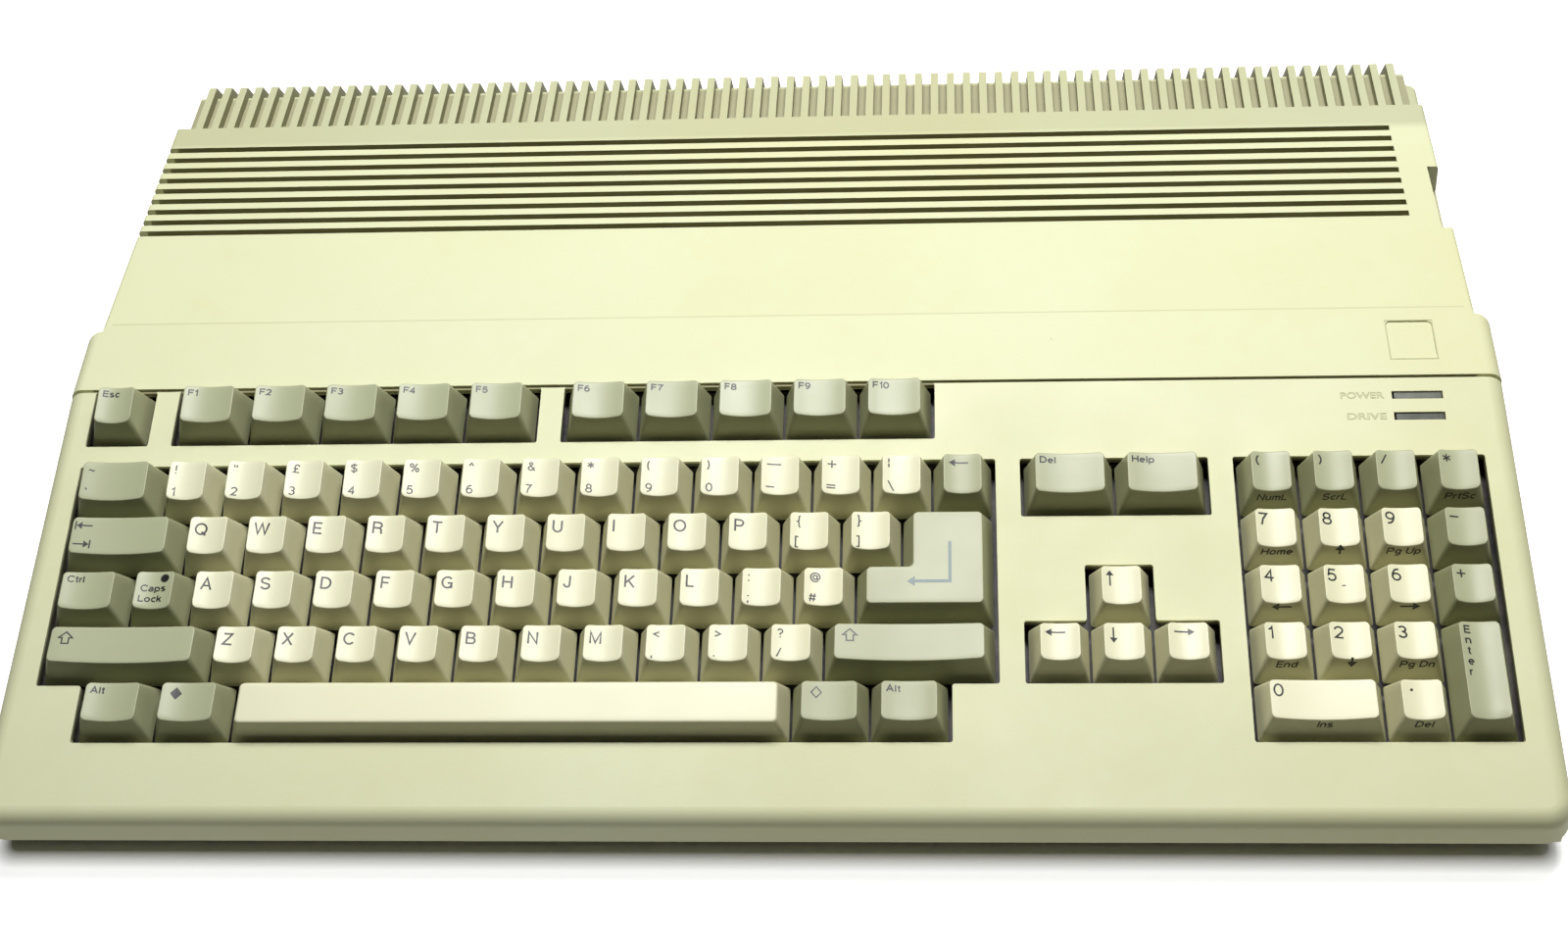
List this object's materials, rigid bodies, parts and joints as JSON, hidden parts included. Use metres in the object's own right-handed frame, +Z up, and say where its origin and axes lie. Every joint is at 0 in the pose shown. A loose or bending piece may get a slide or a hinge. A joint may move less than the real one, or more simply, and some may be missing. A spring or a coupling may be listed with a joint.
{
  "type": "home computer",
  "caption": "Wedge-shaped vintage home computer with a full keyboard in its lid, ribbed rear, side disk drive and rear sockets.",
  "frame": {"origin": "on the table surface, under the middle of the case", "axes": "+X to the user's right along the case, +Y to the rear, +Z up"},
  "size_m": [0.4742, 0.3294, 0.0666],
  "materials": {
    "case_shell": "aged beige moulded plastic with a fine grain",
    "light_keycap": "cream keycap plastic, worn to a slight shine",
    "dark_keycap": "grey-khaki keycap plastic, worn to a slight shine",
    "black_plastic": "black moulded plastic",
    "bezel_plastic": "drive front plastic",
    "window_plastic": "smoked indicator window",
    "clear_film": "polyester contact film",
    "circuit_board": "green solder mask",
    "chip_black": "moulded chip bodies",
    "plain_steel": "plated steel",
    "tinned_steel": "tinned sheet steel",
    "foot_rubber": "soft rubber"
  },
  "bodies": {
    "case": {"bottom_case": "case_shell", "contact_membrane": "clear_film", "drive_bezel": "bezel_plastic", "drive_chassis": "tinned_steel", "dsub_sockets": "tinned_steel", "keyboard_back_plate": "plain_steel", "keyboard_controller": "circuit_board", "keyboard_frame": "black_plastic", "led_board": "circuit_board", "led_lenses": "window_plastic", "lower_screen": "tinned_steel", "main_board": "circuit_board", "main_board_chips": "chip_black", "phono_jacks": "tinned_steel", "power_inlet": "black_plastic", "rubber_feet": "foot_rubber", "screws": "plain_steel", "top_case": "case_shell", "trapdoor_cover": "case_shell", "upper_screen": "tinned_steel"},
    "key_backspace": {"key_backspace": "dark_keycap"},
    "key_caps_lock": {"key_caps_lock": "dark_keycap"},
    "key_ctrl": {"key_ctrl": "dark_keycap"},
    "key_del": {"key_del": "dark_keycap"},
    "key_down": {"key_down": "light_keycap"},
    "key_esc": {"key_esc": "dark_keycap"},
    "key_help": {"key_help": "dark_keycap"},
    "key_left": {"key_left": "light_keycap"},
    "key_left_alt": {"key_left_alt": "dark_keycap"},
    "key_left_shift": {"key_left_shift": "dark_keycap"},
    "key_left_special": {"key_left_special": "dark_keycap"},
    "key_pad_0": {"key_pad_0": "light_keycap"},
    "key_pad_close": {"key_pad_close": "dark_keycap"},
    "key_pad_divide": {"key_pad_divide": "dark_keycap"},
    "key_pad_enter": {"key_pad_enter": "dark_keycap"},
    "key_pad_minus": {"key_pad_minus": "dark_keycap"},
    "key_pad_open": {"key_pad_open": "dark_keycap"},
    "key_pad_plus": {"key_pad_plus": "dark_keycap"},
    "key_pad_point": {"key_pad_point": "light_keycap"},
    "key_pad_times": {"key_pad_times": "dark_keycap"},
    "key_return": {"key_return": "dark_keycap"},
    "key_right": {"key_right": "light_keycap"},
    "key_right_alt": {"key_right_alt": "dark_keycap"},
    "key_right_shift": {"key_right_shift": "dark_keycap"},
    "key_right_special": {"key_right_special": "dark_keycap"},
    "key_space_bar": {"key_space_bar": "light_keycap"},
    "key_tab": {"key_tab": "dark_keycap"},
    "key_tilde": {"key_tilde": "dark_keycap"},
    "key_up": {"key_up": "light_keycap"},
    "keys_a_row": {"keys_a_row": "light_keycap"},
    "keys_f1_to_f5": {"keys_f1_to_f5": "dark_keycap"},
    "keys_f6_to_f10": {"keys_f6_to_f10": "dark_keycap"},
    "keys_number_row": {"keys_number_row": "light_keycap"},
    "keys_pad_123": {"keys_pad_123": "light_keycap"},
    "keys_pad_456": {"keys_pad_456": "light_keycap"},
    "keys_pad_789": {"keys_pad_789": "light_keycap"},
    "keys_q_row": {"keys_q_row": "light_keycap"},
    "keys_z_row": {"keys_z_row": "light_keycap"},
    "eject_button": {"eject_button": "bezel_plastic"},
    "expansion_cover": {"expansion_cover": "case_shell"}
  },
  "joints": [
    {"name": "key_backspace_press", "type": "slide", "parent": "case", "child": "key_backspace", "axis": [0, 0.2334, -0.9724], "range_m": [0, 0.0038], "stiffness_N_per_m": 100, "springref_m": -0.004},
    {"name": "key_caps_lock_press", "type": "slide", "parent": "case", "child": "key_caps_lock", "axis": [0, 0.2334, -0.9724], "range_m": [0, 0.0038], "stiffness_N_per_m": 100, "springref_m": -0.004},
    {"name": "key_ctrl_press", "type": "slide", "parent": "case", "child": "key_ctrl", "axis": [0, 0.2334, -0.9724], "range_m": [0, 0.0038], "stiffness_N_per_m": 100, "springref_m": -0.004},
    {"name": "key_del_press", "type": "slide", "parent": "case", "child": "key_del", "axis": [0, 0.2334, -0.9724], "range_m": [0, 0.0038], "stiffness_N_per_m": 100, "springref_m": -0.004},
    {"name": "key_down_press", "type": "slide", "parent": "case", "child": "key_down", "axis": [0, 0.2334, -0.9724], "range_m": [0, 0.0038], "stiffness_N_per_m": 100, "springref_m": -0.004},
    {"name": "key_esc_press", "type": "slide", "parent": "case", "child": "key_esc", "axis": [0, 0.2334, -0.9724], "range_m": [0, 0.0038], "stiffness_N_per_m": 100, "springref_m": -0.004},
    {"name": "key_help_press", "type": "slide", "parent": "case", "child": "key_help", "axis": [0, 0.2334, -0.9724], "range_m": [0, 0.0038], "stiffness_N_per_m": 100, "springref_m": -0.004},
    {"name": "key_left_press", "type": "slide", "parent": "case", "child": "key_left", "axis": [0, 0.2334, -0.9724], "range_m": [0, 0.0038], "stiffness_N_per_m": 100, "springref_m": -0.004},
    {"name": "key_left_alt_press", "type": "slide", "parent": "case", "child": "key_left_alt", "axis": [0, 0.2334, -0.9724], "range_m": [0, 0.0038], "stiffness_N_per_m": 100, "springref_m": -0.004},
    {"name": "key_left_shift_press", "type": "slide", "parent": "case", "child": "key_left_shift", "axis": [0, 0.2334, -0.9724], "range_m": [0, 0.0038], "stiffness_N_per_m": 100, "springref_m": -0.004},
    {"name": "key_left_special_press", "type": "slide", "parent": "case", "child": "key_left_special", "axis": [0, 0.2334, -0.9724], "range_m": [0, 0.0038], "stiffness_N_per_m": 100, "springref_m": -0.004},
    {"name": "key_pad_0_press", "type": "slide", "parent": "case", "child": "key_pad_0", "axis": [0, 0.2334, -0.9724], "range_m": [0, 0.0038], "stiffness_N_per_m": 100, "springref_m": -0.004},
    {"name": "key_pad_close_press", "type": "slide", "parent": "case", "child": "key_pad_close", "axis": [0, 0.2334, -0.9724], "range_m": [0, 0.0038], "stiffness_N_per_m": 100, "springref_m": -0.004},
    {"name": "key_pad_divide_press", "type": "slide", "parent": "case", "child": "key_pad_divide", "axis": [0, 0.2334, -0.9724], "range_m": [0, 0.0038], "stiffness_N_per_m": 100, "springref_m": -0.004},
    {"name": "key_pad_enter_press", "type": "slide", "parent": "case", "child": "key_pad_enter", "axis": [0, 0.2334, -0.9724], "range_m": [0, 0.0038], "stiffness_N_per_m": 100, "springref_m": -0.004},
    {"name": "key_pad_minus_press", "type": "slide", "parent": "case", "child": "key_pad_minus", "axis": [0, 0.2334, -0.9724], "range_m": [0, 0.0038], "stiffness_N_per_m": 100, "springref_m": -0.004},
    {"name": "key_pad_open_press", "type": "slide", "parent": "case", "child": "key_pad_open", "axis": [0, 0.2334, -0.9724], "range_m": [0, 0.0038], "stiffness_N_per_m": 100, "springref_m": -0.004},
    {"name": "key_pad_plus_press", "type": "slide", "parent": "case", "child": "key_pad_plus", "axis": [0, 0.2334, -0.9724], "range_m": [0, 0.0038], "stiffness_N_per_m": 100, "springref_m": -0.004},
    {"name": "key_pad_point_press", "type": "slide", "parent": "case", "child": "key_pad_point", "axis": [0, 0.2334, -0.9724], "range_m": [0, 0.0038], "stiffness_N_per_m": 100, "springref_m": -0.004},
    {"name": "key_pad_times_press", "type": "slide", "parent": "case", "child": "key_pad_times", "axis": [0, 0.2334, -0.9724], "range_m": [0, 0.0038], "stiffness_N_per_m": 100, "springref_m": -0.004},
    {"name": "key_return_press", "type": "slide", "parent": "case", "child": "key_return", "axis": [0, 0.2334, -0.9724], "range_m": [0, 0.0038], "stiffness_N_per_m": 100, "springref_m": -0.004},
    {"name": "key_right_press", "type": "slide", "parent": "case", "child": "key_right", "axis": [0, 0.2334, -0.9724], "range_m": [0, 0.0038], "stiffness_N_per_m": 100, "springref_m": -0.004},
    {"name": "key_right_alt_press", "type": "slide", "parent": "case", "child": "key_right_alt", "axis": [0, 0.2334, -0.9724], "range_m": [0, 0.0038], "stiffness_N_per_m": 100, "springref_m": -0.004},
    {"name": "key_right_shift_press", "type": "slide", "parent": "case", "child": "key_right_shift", "axis": [0, 0.2334, -0.9724], "range_m": [0, 0.0038], "stiffness_N_per_m": 100, "springref_m": -0.004},
    {"name": "key_right_special_press", "type": "slide", "parent": "case", "child": "key_right_special", "axis": [0, 0.2334, -0.9724], "range_m": [0, 0.0038], "stiffness_N_per_m": 100, "springref_m": -0.004},
    {"name": "key_space_bar_press", "type": "slide", "parent": "case", "child": "key_space_bar", "axis": [0, 0.2334, -0.9724], "range_m": [0, 0.0038], "stiffness_N_per_m": 200, "springref_m": -0.004},
    {"name": "key_tab_press", "type": "slide", "parent": "case", "child": "key_tab", "axis": [0, 0.2334, -0.9724], "range_m": [0, 0.0038], "stiffness_N_per_m": 100, "springref_m": -0.004},
    {"name": "key_tilde_press", "type": "slide", "parent": "case", "child": "key_tilde", "axis": [0, 0.2334, -0.9724], "range_m": [0, 0.0038], "stiffness_N_per_m": 100, "springref_m": -0.004},
    {"name": "key_up_press", "type": "slide", "parent": "case", "child": "key_up", "axis": [0, 0.2334, -0.9724], "range_m": [0, 0.0038], "stiffness_N_per_m": 100, "springref_m": -0.004},
    {"name": "keys_a_row_press", "type": "slide", "parent": "case", "child": "keys_a_row", "axis": [0, 0.2334, -0.9724], "range_m": [0, 0.0038], "stiffness_N_per_m": 1100, "springref_m": -0.004},
    {"name": "keys_f1_to_f5_press", "type": "slide", "parent": "case", "child": "keys_f1_to_f5", "axis": [0, 0.2334, -0.9724], "range_m": [0, 0.0038], "stiffness_N_per_m": 500, "springref_m": -0.004},
    {"name": "keys_f6_to_f10_press", "type": "slide", "parent": "case", "child": "keys_f6_to_f10", "axis": [0, 0.2334, -0.9724], "range_m": [0, 0.0038], "stiffness_N_per_m": 500, "springref_m": -0.004},
    {"name": "keys_number_row_press", "type": "slide", "parent": "case", "child": "keys_number_row", "axis": [0, 0.2334, -0.9724], "range_m": [0, 0.0038], "stiffness_N_per_m": 1300, "springref_m": -0.004},
    {"name": "keys_pad_123_press", "type": "slide", "parent": "case", "child": "keys_pad_123", "axis": [0, 0.2334, -0.9724], "range_m": [0, 0.0038], "stiffness_N_per_m": 300, "springref_m": -0.004},
    {"name": "keys_pad_456_press", "type": "slide", "parent": "case", "child": "keys_pad_456", "axis": [0, 0.2334, -0.9724], "range_m": [0, 0.0038], "stiffness_N_per_m": 300, "springref_m": -0.004},
    {"name": "keys_pad_789_press", "type": "slide", "parent": "case", "child": "keys_pad_789", "axis": [0, 0.2334, -0.9724], "range_m": [0, 0.0038], "stiffness_N_per_m": 300, "springref_m": -0.004},
    {"name": "keys_q_row_press", "type": "slide", "parent": "case", "child": "keys_q_row", "axis": [0, 0.2334, -0.9724], "range_m": [0, 0.0038], "stiffness_N_per_m": 1200, "springref_m": -0.004},
    {"name": "keys_z_row_press", "type": "slide", "parent": "case", "child": "keys_z_row", "axis": [0, 0.2334, -0.9724], "range_m": [0, 0.0038], "stiffness_N_per_m": 1000, "springref_m": -0.004},
    {"name": "eject_button_press", "type": "slide", "parent": "case", "child": "eject_button", "axis": [-1, 0, 0], "range_m": [0, 0.0024], "stiffness_N_per_m": 200, "springref_m": -0.003},
    {"name": "expansion_cover_pull", "type": "slide", "parent": "case", "child": "expansion_cover", "axis": [-1, 0, 0], "range_m": [0, 0.03]}
  ]
}
